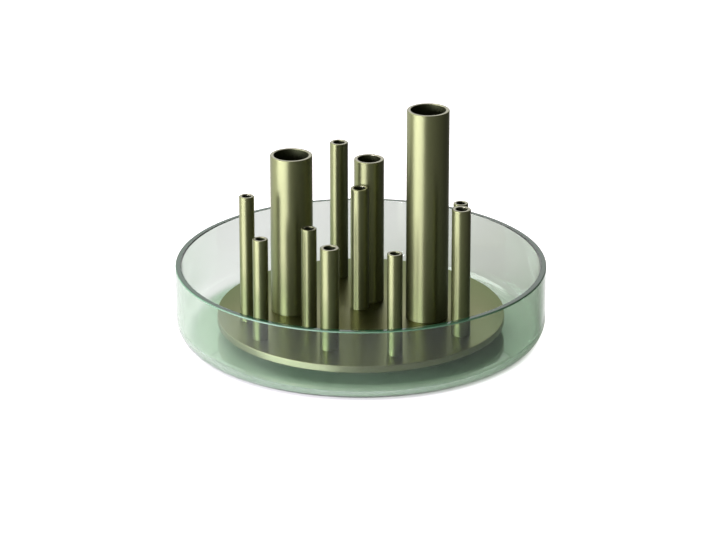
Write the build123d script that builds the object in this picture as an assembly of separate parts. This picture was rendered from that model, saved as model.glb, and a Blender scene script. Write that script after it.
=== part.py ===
from build123d import *
import os

# Round glass bowl with a loose metal insert: a plate on four soft feet that carries twelve tubes.
# Millimetres. Origin at the middle of the bowl's base, on the table, with +Z up.
# +X points to the viewer's right and +Y away from the viewer.

# Glass bowl
bowl_diameter = 250.0
bowl_height = 50.5
glass_wall = 4.4
glass_floor = 4.0
outer_heel_radius = 13.5
inner_heel_radius = 9.0
rim_chamfer = 0.5

# Plate, with a free ring of glass floor all round it
plate_to_glass = 23.35
plate_thickness = 5.0
plate_top_chamfer = 0.4
plate_under_chamfer = 0.8

# Soft feet under the plate
foot_height = 6.5
foot_head_diameter = 12.0
foot_tread_diameter = 10.0
foot_tread_chamfer = 0.8
foot_stem_diameter = 5.0
foot_stem_length = 3.0
foot_stem_clearance = 0.05
foot_hole_spare = 0.3
foot_circle_share = 0.64
foot_first_angle = 45.0
foot_names = ("foot_back_right", "foot_back_left", "foot_front_left", "foot_front_right")

# Tube stock: outside diameter and wall
large_diameter, large_wall = 28.5, 2.5
medium_diameter, medium_wall = 20.4, 2.5
slim_diameter, slim_wall = 12.6, 2.4
thin_diameter, thin_wall = 10.2, 2.0

# Tube heights above the plate
tallest_height = 146.5
tall_height = 110.5
medium_height = 101.0
slim_back_height = 98.0
slim_centre_height = 86.0
side_height = 88.0
short_height = 70.0

# Tube ends and their seats in the plate
spigot_step = 0.9
spigot_short = 0.5
seat_clearance = 0.05
lip_chamfer = 0.35
mouth_chamfer = 0.45

# The centre tube stands close in front of the medium tube
centre_tube_gap = 1.0
centre_tube_angle = 249.0

quarter_turn = 90.0
cut_over = 1.0

bowl_radius = bowl_diameter / 2
glass_inner_radius = bowl_radius - glass_wall
plate_radius = glass_inner_radius - plate_to_glass
plate_underside = glass_floor + foot_height
plate_top = plate_underside + plate_thickness

# Places of the tubes on the plate, as shares of its radius
large_right_shares = (0.457, -0.107)
large_left_shares = (-0.478, 0.025)
medium_shares = (0.057, 0.221)
slim_back_shares = (-0.154, 0.659)
slim_front_shares = (-0.211, -0.673)
slim_right_shares = (0.680, -0.424)
thin_left_shares = (-0.781, -0.165)
thin_front_left_shares = (-0.681, -0.504)
thin_inner_shares = (-0.354, -0.299)
thin_front_shares = (0.227, -0.777)
thin_right_shares = (0.695, 0.200)


# A place on the plate
def on_plate(shares):
    return Vector(shares[0] * plate_radius, shares[1] * plate_radius)


# The centre tube's place, one gap clear of the medium tube
def beside_medium_tube():
    spacing = (medium_diameter + slim_diameter) / 2 + centre_tube_gap
    return on_plate(medium_shares) + Vector(spacing, 0).rotate(Axis.Z, centre_tube_angle)


# Every tube: name, outside diameter, wall, height above the plate, place
tubes = (
    ("large_tube_right", large_diameter, large_wall, tallest_height, on_plate(large_right_shares)),
    ("large_tube_left", large_diameter, large_wall, tall_height, on_plate(large_left_shares)),
    ("medium_tube", medium_diameter, medium_wall, medium_height, on_plate(medium_shares)),
    ("slim_tube_back", slim_diameter, slim_wall, slim_back_height, on_plate(slim_back_shares)),
    ("slim_tube_centre", slim_diameter, slim_wall, slim_centre_height, beside_medium_tube()),
    ("slim_tube_front", slim_diameter, slim_wall, short_height, on_plate(slim_front_shares)),
    ("slim_tube_right", slim_diameter, slim_wall, side_height, on_plate(slim_right_shares)),
    ("thin_tube_left", thin_diameter, thin_wall, side_height, on_plate(thin_left_shares)),
    ("thin_tube_front_left", thin_diameter, thin_wall, short_height, on_plate(thin_front_left_shares)),
    ("thin_tube_inner", thin_diameter, thin_wall, short_height, on_plate(thin_inner_shares)),
    ("thin_tube_front", thin_diameter, thin_wall, short_height, on_plate(thin_front_shares)),
    ("thin_tube_right", thin_diameter, thin_wall, short_height, on_plate(thin_right_shares)),
)


# Glass bowl: one turned section of base, heel, upright wall, flat cut rim, inside wall and floor
def glass_bowl():
    with BuildPart() as bowl:
        with BuildSketch(Plane.XZ):
            with BuildLine():
                base = Line((0, 0), (bowl_radius - outer_heel_radius, 0))
                heel = JernArc(base @ 1, base % 1, outer_heel_radius, quarter_turn)
                wall_and_rim = Polyline(
                    heel @ 1,
                    (bowl_radius, bowl_height - rim_chamfer),
                    (bowl_radius - rim_chamfer, bowl_height),
                    (glass_inner_radius + rim_chamfer, bowl_height),
                    (glass_inner_radius, bowl_height - rim_chamfer),
                    (glass_inner_radius, glass_floor + inner_heel_radius),
                )
                inner_heel = JernArc(wall_and_rim @ 1, wall_and_rim % 1, inner_heel_radius, -quarter_turn)
                Polyline(inner_heel @ 1, (0, glass_floor), (0, 0))
            make_face()
        revolve(axis=Axis.Z)
    return bowl.part


# A drill that opens a round hole up through the plate's underside
def plate_drill(radius, depth, place):
    drill = Cylinder(radius, cut_over + depth, align=(Align.CENTER, Align.CENTER, Align.MIN))
    return Pos(place.X, place.Y, plate_underside - cut_over) * drill


# Plate: a turned disc, drilled through for each tube's spigot and blind for each foot's stem
def base_plate():
    with BuildPart() as disc:
        with BuildSketch(Plane.XZ):
            with BuildLine():
                Polyline(
                    (0, plate_underside),
                    (plate_radius - plate_under_chamfer, plate_underside),
                    (plate_radius, plate_underside + plate_under_chamfer),
                    (plate_radius, plate_top - plate_top_chamfer),
                    (plate_radius - plate_top_chamfer, plate_top),
                    (0, plate_top),
                    close=True,
                )
            make_face()
        revolve(axis=Axis.Z)
    plate = disc.part
    for name, diameter, wall, height, place in tubes:
        seat_radius = diameter / 2 - spigot_step + seat_clearance
        plate -= plate_drill(seat_radius, plate_thickness + cut_over, place)
    for place in foot_places():
        stem_hole_radius = foot_stem_diameter / 2 + foot_stem_clearance
        plate -= plate_drill(stem_hole_radius, foot_stem_length + foot_hole_spare, place)
    return plate


# Tube: turned with a spigot below its shoulder and a lip eased inside and out
def tube(diameter, wall, height, place):
    outer_radius = diameter / 2
    bore_radius = outer_radius - wall
    spigot_radius = outer_radius - spigot_step
    lower_end = plate_underside + spigot_short
    upper_end = plate_top + height
    with BuildPart() as turned:
        with BuildSketch(Plane.XZ):
            with BuildLine():
                Polyline(
                    (bore_radius, lower_end),
                    (spigot_radius, lower_end),
                    (spigot_radius, plate_top),
                    (outer_radius, plate_top),
                    (outer_radius, upper_end - lip_chamfer),
                    (outer_radius - lip_chamfer, upper_end),
                    (bore_radius + mouth_chamfer, upper_end),
                    (bore_radius, upper_end - mouth_chamfer),
                    close=True,
                )
            make_face()
        revolve(axis=Axis.Z)
    return Pos(place.X, place.Y, 0) * turned.part


# Places of the feet, evenly round a circle on the plate
def foot_places():
    step = 4 * quarter_turn / len(foot_names)
    radius = foot_circle_share * plate_radius
    return [
        Vector(radius, 0).rotate(Axis.Z, foot_first_angle + number * step)
        for number in range(len(foot_names))
    ]


# Foot: a tapered soft bumper with an eased tread and a stem pushed into the plate
def foot(place):
    with BuildPart() as bumper:
        with BuildSketch(Plane.XZ):
            with BuildLine():
                Polyline(
                    (0, glass_floor),
                    (foot_tread_diameter / 2 - foot_tread_chamfer, glass_floor),
                    (foot_tread_diameter / 2, glass_floor + foot_tread_chamfer),
                    (foot_head_diameter / 2, plate_underside),
                    (foot_stem_diameter / 2, plate_underside),
                    (foot_stem_diameter / 2, plate_underside + foot_stem_length),
                    (0, plate_underside + foot_stem_length),
                    close=True,
                )
            make_face()
        revolve(axis=Axis.Z)
    return Pos(place.X, place.Y, 0) * bumper.part


# One file for each piece
pieces = {"glass_bowl": glass_bowl(), "base_plate": base_plate()}
for name, diameter, wall, height, place in tubes:
    pieces[name] = tube(diameter, wall, height, place)
for name, place in zip(foot_names, foot_places()):
    pieces[name] = foot(place)

os.makedirs("parts", exist_ok=True)
for name, solid in pieces.items():
    export_step(solid, f"parts/{name}.step")
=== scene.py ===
import math
import bpy
import bmesh
from mathutils import Matrix, Vector


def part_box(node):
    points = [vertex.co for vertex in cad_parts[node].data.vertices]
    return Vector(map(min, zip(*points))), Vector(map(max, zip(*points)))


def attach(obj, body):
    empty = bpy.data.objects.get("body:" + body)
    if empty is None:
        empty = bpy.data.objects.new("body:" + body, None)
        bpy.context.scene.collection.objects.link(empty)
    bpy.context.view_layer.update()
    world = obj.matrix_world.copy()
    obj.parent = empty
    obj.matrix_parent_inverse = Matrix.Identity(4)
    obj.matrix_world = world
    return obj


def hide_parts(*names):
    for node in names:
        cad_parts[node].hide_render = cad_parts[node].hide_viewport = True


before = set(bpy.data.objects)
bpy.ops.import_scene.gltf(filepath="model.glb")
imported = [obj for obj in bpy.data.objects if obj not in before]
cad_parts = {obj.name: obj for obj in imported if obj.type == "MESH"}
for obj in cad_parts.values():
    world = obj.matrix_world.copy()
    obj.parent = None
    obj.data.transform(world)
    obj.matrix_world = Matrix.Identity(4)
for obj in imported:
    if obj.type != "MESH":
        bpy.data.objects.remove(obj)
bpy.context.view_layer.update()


# Glass bowl
# A shallow round bowl of soda-lime glass, tinted sea green through its thickness and blown in a
# turned mould. Its rim is cut flat, eased and polished. It stands loose on the table.

# Turns an sRGB hex colour into the renderer's linear colour
def linear(hex_colour):
    values = [int(hex_colour[i:i + 2], 16) / 255 for i in (0, 2, 4)]
    return [v / 12.92 if v <= 0.04045 else ((v + 0.055) / 1.055) ** 2.4 for v in values] + [1.0]


# Adds a node, with its settings by name or socket number and its links by socket
def add(material, kind, settings=None, links=None):
    node = material.node_tree.nodes.new(kind)
    for name, value in (settings or {}).items():
        if isinstance(name, int) or name in node.inputs:
            node.inputs[name].default_value = value
        else:
            setattr(node, name, value)
    for name, source in (links or {}).items():
        material.node_tree.links.new(source, node.inputs[name])
    return node


def blank_material(name):
    material = bpy.data.materials.new(name)
    material.use_nodes = True
    material.node_tree.nodes.clear()
    return material


# Puts a finished mesh into the scene as an object
def placed(name, mesh):
    data = bpy.data.meshes.new(name)
    mesh.to_mesh(data)
    mesh.free()
    piece = bpy.data.objects.new(name, data)
    bpy.context.scene.collection.objects.link(piece)
    return piece


# Turns a closed or open section, given as (radius, height) corners, round an upright axis. Eased
# corners get (radius, segments), and faces that lie within the bore get the second material.
def turned_piece(name, corners, eased, steps, centre=(0, 0), closed=True, bore=0.0):
    weld_distance = 1e-7
    mesh = bmesh.new()
    x, y = centre
    ring = [mesh.verts.new((x + radius, y, height)) for radius, height in corners]
    for here, after in zip(ring, ring[1:] + ring[:1] if closed else ring[1:]):
        mesh.edges.new((here, after))
    for number, (radius, segments) in eased.items():
        bmesh.ops.bevel(
            mesh, geom=[ring[number]], offset=radius, offset_type="OFFSET", affect="VERTICES",
            segments=segments, profile=0.5, material=-1,
        )
    bmesh.ops.spin(
        mesh, geom=mesh.verts[:] + mesh.edges[:], cent=(x, y, 0), axis=(0, 0, 1),
        angle=2 * math.pi, steps=steps, use_merge=True, use_duplicate=False,
    )
    bmesh.ops.remove_doubles(mesh, verts=mesh.verts, dist=weld_distance)
    bmesh.ops.recalc_face_normals(mesh, faces=mesh.faces)
    for face in mesh.faces:
        face.smooth = True
        farthest = max(math.hypot(vert.co.x - x, vert.co.y - y) for vert in face.verts)
        face.material_index = int(farthest < bore)
    piece = placed(name, mesh)
    crisp = piece.modifiers.new("crisp_flats", "WEIGHTED_NORMAL")
    crisp.weight = 100
    return piece


# Soda-lime glass with iron in it, smooth from the mould and fire polished. It is clear, mirrors
# the room faintly and gets greener with the depth of glass that the eye looks through. Lamplight,
# light from matt faces and soft reflections pass it unbent, which keeps what stands in it lit.
def sea_green_glass(ior):
    glass = blank_material("sea_green_soda_lime_glass")
    skin = add(
        glass, "ShaderNodeBsdfPrincipled",
        {"Base Color": (1, 1, 1, 1), "Roughness": 0.0, "IOR": ior, "Transmission Weight": 1.0},
    )
    see_through = add(glass, "ShaderNodeBsdfTransparent", {"Color": (0.96, 0.96, 0.96, 1)})
    rays = add(glass, "ShaderNodeLightPath")
    shown = skin
    for ray, gets_through in (
        ("Is Glossy Ray", see_through), ("Is Singular Ray", skin),
        ("Is Diffuse Ray", see_through), ("Is Shadow Ray", see_through),
    ):
        shown = add(
            glass, "ShaderNodeMixShader",
            links={0: rays.outputs[ray], 1: shown.outputs[0], 2: gets_through.outputs[0]},
        )
    tint = add(
        glass, "ShaderNodeVolumeAbsorption", {"Color": (0.36, 0.64, 0.38, 1), "Density": 100.0},
    )
    add(
        glass, "ShaderNodeOutputMaterial",
        links={"Surface": shown.outputs[0], "Volume": tint.outputs["Volume"]},
    )
    return glass


# Cut rim of the same glass, drawn opaque. Light that enters it runs down inside the wall until the
# tint has taken it, so the polished flat is painted deep green under its reflections. The eased
# outer edge is painted a pale green, a painted highlight for the lamplight that the glass gathers
# there.
def green_rim(name, colour, rough, ior):
    rim = blank_material(name)
    skin = add(
        rim, "ShaderNodeBsdfPrincipled",
        {"Base Color": linear(colour), "Roughness": rough, "IOR": ior},
    )
    add(rim, "ShaderNodeOutputMaterial", links={"Surface": skin.outputs["BSDF"]})
    return rim


glass_wall, glass_floor, glass_ior = 0.0044, 0.004, 1.5
outer_heel, inner_heel, rim_ease = 0.0135, 0.009, 0.0009
heel_segments, rim_segments, bowl_steps = 16, 5, 360
polished_flat, edge_highlight = 1, 2
# Allowance for rounding in a mesh's numbers
slack = 0.00001

low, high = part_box("glass_bowl")
bowl_radius, bowl_height = high.x, high.z
inside_radius = bowl_radius - glass_wall
bowl = turned_piece(
    "clear_glass_bowl",
    [(0, 0), (bowl_radius, 0), (bowl_radius, bowl_height), (inside_radius, bowl_height),
     (inside_radius, glass_floor), (0, glass_floor)],
    {1: (outer_heel, heel_segments), 2: (rim_ease, rim_segments),
     3: (rim_ease, rim_segments), 4: (inner_heel, heel_segments)},
    steps=bowl_steps, closed=False,
)
for material in (
    sea_green_glass(glass_ior),
    green_rim("polished_rim_of_green_glass", "1a3a25", 0.04, glass_ior),
    # Pale green on the eased outer edge: a painted highlight for lamplight gathered in the glass
    green_rim("outer_edge_painted_highlight_of_green_glass", "48684d", 0.45, glass_ior),
):
    bowl.data.materials.append(material)
for face in bowl.data.polygons:
    below_top = bowl_height - face.center.z
    on_outer_edge = math.hypot(face.center.x, face.center.y) > bowl_radius - rim_ease
    if below_top < (rim_ease / 4 if on_outer_edge else slack):
        face.material_index = polished_flat
    elif on_outer_edge and below_top < rim_ease:
        face.material_index = edge_highlight
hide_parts("glass_bowl")
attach(bowl, "bowl")


# Bumper feet
# Four small bumpers of silicone that keep the plate off the glass, each moulded with a stem
# that is pushed up into a blind hole in the plate.

# Silicone rubber moulded in polished tools: a little cloudy, even in colour and softly shiny
def cloudy_silicone():
    silicone = blank_material("moulded_clear_silicone")
    haze_mm = 2.5
    place = add(silicone, "ShaderNodeTexCoord").outputs["Object"]
    haze = add(
        silicone, "ShaderNodeTexNoise", {"Scale": 1000 / haze_mm, "Detail": 2.0},
        {"Vector": place},
    )
    colour = add(
        silicone, "ShaderNodeMix",
        {"data_type": "RGBA", 6: linear("a9ada3"), 7: linear("bcc0b6")},
        {0: haze.outputs["Fac"]},
    )
    skin = add(
        silicone, "ShaderNodeBsdfPrincipled", {"Roughness": 0.5, "IOR": 1.41},
        {"Base Color": colour.outputs[2]},
    )
    add(silicone, "ShaderNodeOutputMaterial", links={"Surface": skin.outputs["BSDF"]})
    return silicone


silicone = cloudy_silicone()
for name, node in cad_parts.items():
    if name.startswith("foot"):
        node.data.materials.clear()
        node.data.materials.append(silicone)


# Base plate
# An aluminium disc turned from plate, drilled for the tubes and the feet and anodised a deep
# olive brass. It rests on its feet on the bowl's floor.

# Satin olive anodising over aluminium that was turned or brushed round its axis. The fine rings
# draw a light out across them, and a faint cloud in colour and sheen keeps large faces alive. The
# grain is drawn coarser than the real one, because that would be lost at the photo's distance.
def satin_olive_metal(name, ring_spread, rough, shades):
    metal = blank_material(name)
    grain_mm, cloud_mm, quarter_turn = 0.8, 25.0, 0.25
    place = add(metal, "ShaderNodeTexCoord").outputs["Object"]
    grain = add(
        metal, "ShaderNodeTexNoise", {"Scale": 1000 / grain_mm, "Detail": 2.0}, {"Vector": place},
    )
    cloud = add(
        metal, "ShaderNodeTexNoise", {"Scale": 1000 / cloud_mm, "Detail": 3.0}, {"Vector": place},
    )
    colour = add(
        metal, "ShaderNodeMix",
        {"data_type": "RGBA", 6: linear(shades[0]), 7: linear(shades[1])},
        {0: cloud.outputs["Fac"]},
    )
    sheen = add(
        metal, "ShaderNodeMapRange", {"To Min": rough[0], "To Max": rough[1]},
        {"Value": cloud.outputs["Fac"]},
    )
    bump = add(
        metal, "ShaderNodeBump", {"Strength": 0.02, "Distance": 0.0001},
        {"Height": grain.outputs["Fac"]},
    )
    skin = add(
        metal, "ShaderNodeBsdfPrincipled",
        {"Metallic": 1.0, "Anisotropic": ring_spread,
         "Anisotropic Rotation": quarter_turn if ring_spread else 0.0},
        {"Base Color": colour.outputs[2], "Roughness": sheen.outputs["Result"],
         "Normal": bump.outputs["Normal"]},
    )
    if ring_spread:
        round_axis = add(metal, "ShaderNodeTangent", {"direction_type": "RADIAL", "axis": "Z"})
        metal.node_tree.links.new(round_axis.outputs["Tangent"], skin.inputs["Tangent"])
    add(metal, "ShaderNodeOutputMaterial", links={"Surface": skin.outputs["BSDF"]})
    return metal


# A disc with eased edges, drilled through for the tubes and blind from below for the feet. Holes
# are given as (radius, place), and the turned edge gets the second material.
def drilled_disc(name, radius, low, high, ease_below, ease_above, through, blind, blind_depth):
    disc_steps, bore_steps, blind_steps = 360, 64, 48
    crease = math.radians(30)
    mesh = bmesh.new()

    def ring(size, height, centre=(0, 0), steps=disc_steps):
        place = Matrix.Translation((centre[0], centre[1], height))
        made = bmesh.ops.create_circle(
            mesh, cap_ends=False, segments=steps, radius=size, matrix=place,
        )
        return list(dict.fromkeys(edge for vert in made["verts"] for edge in vert.link_edges))

    def wall(lower, upper):
        bmesh.ops.bridge_loops(mesh, edges=lower + upper)

    def face_with_holes(edges, normal):
        bmesh.ops.triangle_fill(
            mesh, use_beauty=True, use_dissolve=False, edges=edges, normal=normal,
        )

    outside = [
        ring(radius - ease_below, low), ring(radius, low + ease_below),
        ring(radius, high - ease_above), ring(radius - ease_above, high),
    ]
    for lower, upper in zip(outside, outside[1:]):
        wall(lower, upper)
    underside, top = outside[0], outside[-1]
    for size, centre in through:
        lower, upper = (ring(size, height, centre, bore_steps) for height in (low, high))
        wall(lower, upper)
        underside, top = underside + lower, top + upper
    for size, centre in blind:
        lower, upper = (
            ring(size, height, centre, blind_steps) for height in (low, low + blind_depth)
        )
        wall(lower, upper)
        bmesh.ops.edgeloop_fill(mesh, edges=upper)
        underside = underside + lower
    face_with_holes(underside, (0, 0, -1))
    face_with_holes(top, (0, 0, 1))
    bmesh.ops.recalc_face_normals(mesh, faces=mesh.faces)
    for edge in mesh.edges:
        edge.smooth = edge.calc_face_angle(0.0) < crease
    for face in mesh.faces:
        face.smooth = True
        middle = face.calc_center_median()
        face.material_index = int(math.hypot(middle.x, middle.y) > radius - ease_below)
    return placed(name, mesh)


spigot_step, seat_clearance = 0.0009, 0.00005
foot_stem_hole, foot_stem_hole_depth = 0.00255, 0.0033
plate_under_ease, plate_top_ease = 0.0008, 0.0004

tube_holes, foot_holes = [], []
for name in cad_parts:
    low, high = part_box(name)
    middle = (low + high) / 2
    if "tube" in name:
        seat_radius = (high.x - low.x) / 2 - spigot_step + seat_clearance
        tube_holes.append((seat_radius, (middle.x, middle.y)))
    if name.startswith("foot"):
        foot_holes.append((foot_stem_hole, (middle.x, middle.y)))
low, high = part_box("base_plate")
plate = drilled_disc(
    "turned_base_plate", high.x, low.z, high.z, plate_under_ease, plate_top_ease,
    tube_holes, foot_holes, foot_stem_hole_depth,
)
for material in (
    satin_olive_metal(
        "faced_olive_anodised_aluminium", ring_spread=0.5, rough=(0.29, 0.33),
        shades=("6a6b3f", "737346"),
    ),
    # The turned edge is a lighter copy of the olive anodising, a painted highlight for the bright
    # band that the low soft box lays along it. Its ring sheen is its own.
    satin_olive_metal(
        "turned_edge_olive_aluminium_painted_highlight", ring_spread=0.74, rough=(0.38, 0.42),
        shades=("948e74", "9d977d"),
    ),
):
    plate.data.materials.append(material)
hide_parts("base_plate")
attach(plate, "insert")


# Flower tubes
# Twelve lengths of drawn aluminium tube in four sizes, each turned down at the foot to a spigot
# that is bonded into the plate, with a lip eased inside and out.

# The same anodising. The outside is brushed round on the lathe, so each light runs up the tube as
# a long stripe. The bore is rougher and painted a much darker olive, painted shade for the dim
# inside of the tube. The faced end is smoother and painted a lighter olive, a painted highlight
# that makes the thin bright ring round each mouth.
brushed_metal = satin_olive_metal(
    "lathe_brushed_olive_anodised_aluminium", ring_spread=0.74, rough=(0.41, 0.46),
    shades=("6d704f", "767855"),
)
# Darker olive in the bore: painted shade for the inside of the tube
bore_shade_metal = satin_olive_metal(
    "drawn_olive_anodised_bore", ring_spread=0.0, rough=(0.5, 0.58),
    shades=("40432f", "4a4d36"),
)
# Lighter olive on the faced end: a painted highlight for the bright lip ring, with the end's own
# smoother sheen
end_highlight_metal = satin_olive_metal(
    "faced_tube_end_painted_highlight", ring_spread=0.0, rough=(0.2, 0.26),
    shades=("8a8873", "92907b"),
)
tube_walls = {"large": 0.0025, "medium": 0.0025, "slim": 0.0024, "thin": 0.002}
mouth_ease, lip_ease, seat_ease, end_depth = 0.0004, 0.00055, 0.0002, 0.0003
lip_segments, seat_segments, tube_steps = 3, 2, 128
end_highlight_slot = 2
plate_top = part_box("base_plate")[1].z
for name in [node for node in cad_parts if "tube" in node]:
    low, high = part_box(name)
    middle = (low + high) / 2
    outside = (high.x - low.x) / 2
    bore = outside - tube_walls[name.split("_")[0]]
    spigot = outside - spigot_step
    tube = turned_piece(
        "turned_" + name,
        [(bore, low.z), (spigot, low.z), (spigot, plate_top), (outside, plate_top),
         (outside, high.z), (bore, high.z)],
        {3: (seat_ease, seat_segments), 4: (lip_ease, lip_segments),
         5: (mouth_ease, lip_segments)},
        steps=tube_steps, centre=(middle.x, middle.y), bore=bore + slack,
    )
    for material in (brushed_metal, bore_shade_metal, end_highlight_metal):
        tube.data.materials.append(material)
    for face in tube.data.polygons:
        out = math.hypot(face.center.x - middle.x, face.center.y - middle.y)
        if face.center.z > high.z - end_depth and out < outside - lip_ease:
            face.material_index = end_highlight_slot
    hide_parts(name)
    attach(tube, "insert")


# Table
# A plain white table top with its lamplight and the object's shadow on it. At the bowl's outer
# edge it turns into the white background, and where it is mirrored a little further out it gives
# way to the studio's own light.

# Matt white lacquer over a smooth board, faintly rosy. It shows light and shadow softly.
def white_table():
    background_from, background_full = 0.115, 0.1245
    studio_from, studio_full = 0.128, 0.145
    white = blank_material("white_table_top")
    rays = add(white, "ShaderNodeLightPath")
    place = add(white, "ShaderNodeTexCoord").outputs["Object"]
    off_middle = add(white, "ShaderNodeVectorMath", {"operation": "LENGTH"}, {0: place})
    outside, far_off = (
        add(
            white, "ShaderNodeMapRange",
            {"interpolation_type": "SMOOTHSTEP", "From Min": start, "From Max": full},
            {"Value": off_middle.outputs["Value"]},
        )
        for start, full in ((background_from, background_full), (studio_from, studio_full))
    )
    background = add(
        white, "ShaderNodeMath", {"operation": "MULTIPLY"},
        {0: rays.outputs["Is Camera Ray"], 1: outside.outputs["Result"]},
    )
    matt = add(white, "ShaderNodeBsdfDiffuse", {"Color": linear("dfd5d9")})
    lift = add(white, "ShaderNodeEmission", links={"Strength": background.outputs["Value"]})
    both = add(
        white, "ShaderNodeAddShader",
        links={0: matt.outputs["BSDF"], 1: lift.outputs["Emission"]},
    )
    mirrored = add(
        white, "ShaderNodeMath", {"operation": "SUBTRACT", "use_clamp": True},
        {0: rays.outputs["Is Glossy Ray"], 1: rays.outputs["Is Transmission Ray"]},
    )
    reflected = add(
        white, "ShaderNodeMath", {"operation": "MULTIPLY"},
        {0: mirrored.outputs["Value"], 1: far_off.outputs["Result"]},
    )
    bare = add(white, "ShaderNodeBsdfTransparent")
    shown = add(
        white, "ShaderNodeMixShader",
        links={0: reflected.outputs["Value"], 1: both.outputs["Shader"], 2: bare.outputs["BSDF"]},
    )
    add(white, "ShaderNodeOutputMaterial", links={"Surface": shown.outputs["Shader"]})
    return white


# Dropped by a hair, so that the table and the bowl's base don't share one plane
table_radius, table_sides, table_drop = 9.0, 96, 0.0002
table_mesh = bmesh.new()
bmesh.ops.create_circle(table_mesh, cap_ends=True, segments=table_sides, radius=table_radius)
bmesh.ops.translate(table_mesh, verts=table_mesh.verts, vec=(0, 0, -table_drop))
table = placed("table", table_mesh)
table.data.materials.append(white_table())


# Studio light
# A wide low soft box stands at the left front, and a second one hangs above, to the left and
# behind. The room is bright behind the table and low on the left, and dim at the right front.

# A soft box at an azimuth that runs from the front to the right, turned toward its aim
def soft_box(name, azimuth, elevation, distance, width, height, watts, aim, colour=(1, 1, 1)):
    lamp = bpy.data.lights.new(name, "AREA")
    lamp.color = colour
    lamp.shape = "RECTANGLE"
    lamp.size, lamp.size_y = width, height
    lamp.energy = watts
    holder = bpy.data.objects.new(name, lamp)
    bpy.context.scene.collection.objects.link(holder)
    turn, rise = math.radians(azimuth), math.radians(elevation)
    level = Vector((math.sin(turn), -math.cos(turn), 0.0))
    out = level * math.cos(rise) + Vector((0.0, 0.0, math.sin(rise)))
    holder.location = Vector(aim) + out * distance
    holder.rotation_euler = out.to_track_quat("Z", "Y").to_euler()
    holder.visible_camera = False


soft_box(
    "left_soft_box", azimuth=-50, elevation=8, distance=1.1, width=1.17, height=0.42,
    watts=36.0, aim=(0, 0, 0.05), colour=(1.0, 0.98, 1.2),
)
soft_box(
    "top_soft_box", azimuth=-112, elevation=62, distance=1.2, width=1.0, height=1.0,
    watts=12.0, aim=(0, 0, 0),
)

# The room's glows. Each has a direction, the cosines off it at which it starts and is full, and
# its strength before it starts and when it is full.
behind_left = ((-0.5, 0.866, 0.0), 0.3, 0.72, 0.0, 1.15)
wide_low_left = ((-0.8, -0.52, -0.3), -0.6, 1.0, 0.15, 0.6)
far_left = ((-0.95, -0.1, -0.3), 0.75, 0.97, 0.0, 1.0)
low_right_front = ((0.45, -0.55, -0.7), 0.45, 0.9, 0.0, 0.17)

room = bpy.data.worlds.new("studio_room")
bpy.context.scene.world = room
room.use_nodes = True
room.node_tree.nodes.clear()
rays = add(room, "ShaderNodeLightPath")
toward = add(room, "ShaderNodeTexCoord").outputs["Generated"]
strength = None
for direction, start, full, dark, bright in (
    behind_left, wide_low_left, far_left, low_right_front,
):
    facing = add(
        room, "ShaderNodeVectorMath", {"operation": "DOT_PRODUCT", 1: direction}, {0: toward},
    )
    glow = add(
        room, "ShaderNodeMapRange",
        {"interpolation_type": "SMOOTHSTEP", "From Min": start, "From Max": full,
         "To Min": dark, "To Max": bright},
        {"Value": facing.outputs["Value"]},
    )
    strength = glow if strength is None else add(
        room, "ShaderNodeMath", {"operation": "ADD"},
        {0: strength.outputs[0], 1: glow.outputs["Result"]},
    )
# Looked at straight or through the glass, the room is plain white
for ray in ("Is Camera Ray", "Is Transmission Ray"):
    strength = add(
        room, "ShaderNodeMath", {"operation": "MAXIMUM"},
        {0: strength.outputs[0], 1: rays.outputs[ray]},
    )
air = add(
    room, "ShaderNodeBackground", {"Color": (1, 1, 1, 1)}, {"Strength": strength.outputs["Value"]},
)
add(room, "ShaderNodeOutputWorld", links={"Surface": air.outputs["Background"]})


# Camera
# A long lens a little over two metres off, looking down about twenty-one degrees. Its aim puts
# the bowl and the tubes where the photo has them, to within about a pixel.
look_down, camera_distance = math.radians(21.31), 2.3
look_at = Vector((-0.00192, 0.0, 0.04444))
camera_data = bpy.data.cameras.new("camera")
camera_data.sensor_width = 36.0
camera_data.lens = 171.4
camera_data.clip_end = 50.0
camera = bpy.data.objects.new("camera", camera_data)
bpy.context.scene.collection.objects.link(camera)
bpy.context.scene.camera = camera
toward_camera = Vector((0, -math.cos(look_down), math.sin(look_down)))
camera.location = look_at + camera_distance * toward_camera
camera.rotation_euler = (math.pi / 2 - look_down, 0, 0)

bpy.context.scene.view_settings.view_transform = "Standard"
